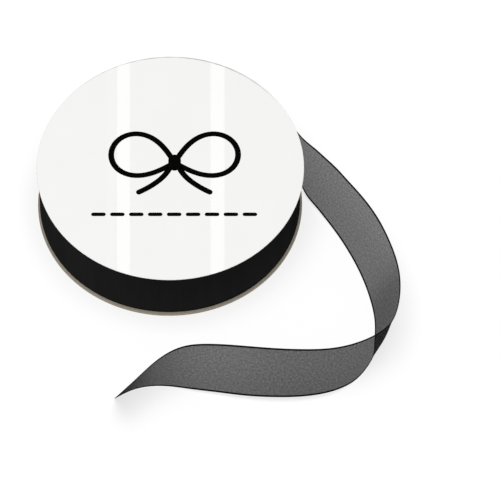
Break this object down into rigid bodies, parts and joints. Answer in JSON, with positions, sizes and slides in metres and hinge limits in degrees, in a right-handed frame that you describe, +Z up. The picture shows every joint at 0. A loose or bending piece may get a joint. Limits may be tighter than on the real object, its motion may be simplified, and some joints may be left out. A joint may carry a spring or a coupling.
{
  "type": "ribbon spool",
  "caption": "Flat round board spool wound with sheer ribbon, its free end standing on edge beside it in a loose curve.",
  "frame": {"origin": "on the spool's axis at the underside of the back label, at the mouth of the spindle hole", "axes": "+Z up the spool's axis, out of the front label's face; -Y towards the reader of the front label; +X towards the side where the ribbon leaves the roll"},
  "size_m": [0.1542, 0.1669, 0.0291],
  "materials": {
    "back_paper": "matte",
    "greyboard": "matte",
    "glue": "satin",
    "kraft_tube": "matte",
    "tape": "gloss",
    "wound_ribbon": "satin",
    "glossy_card": "gloss",
    "sheer_ribbon": "satin"
  },
  "bodies": {
    "spool": {"back_label": "back_paper", "back_flange": "greyboard", "back_glue_ring": "glue", "core_tube": "kraft_tube", "start_tape": "tape", "ribbon_roll": "wound_ribbon", "front_glue_ring": "glue", "front_flange": "greyboard", "front_label": "glossy_card"},
    "free_ribbon": {"ribbon_tail": "sheer_ribbon"}
  },
  "joints": [
    {"name": "ribbon_unwind", "type": "hinge", "parent": "spool", "child": "free_ribbon", "pos_m": [0, 0, 0.0145], "axis": [0, 0, 1], "continuous": true}
  ]
}
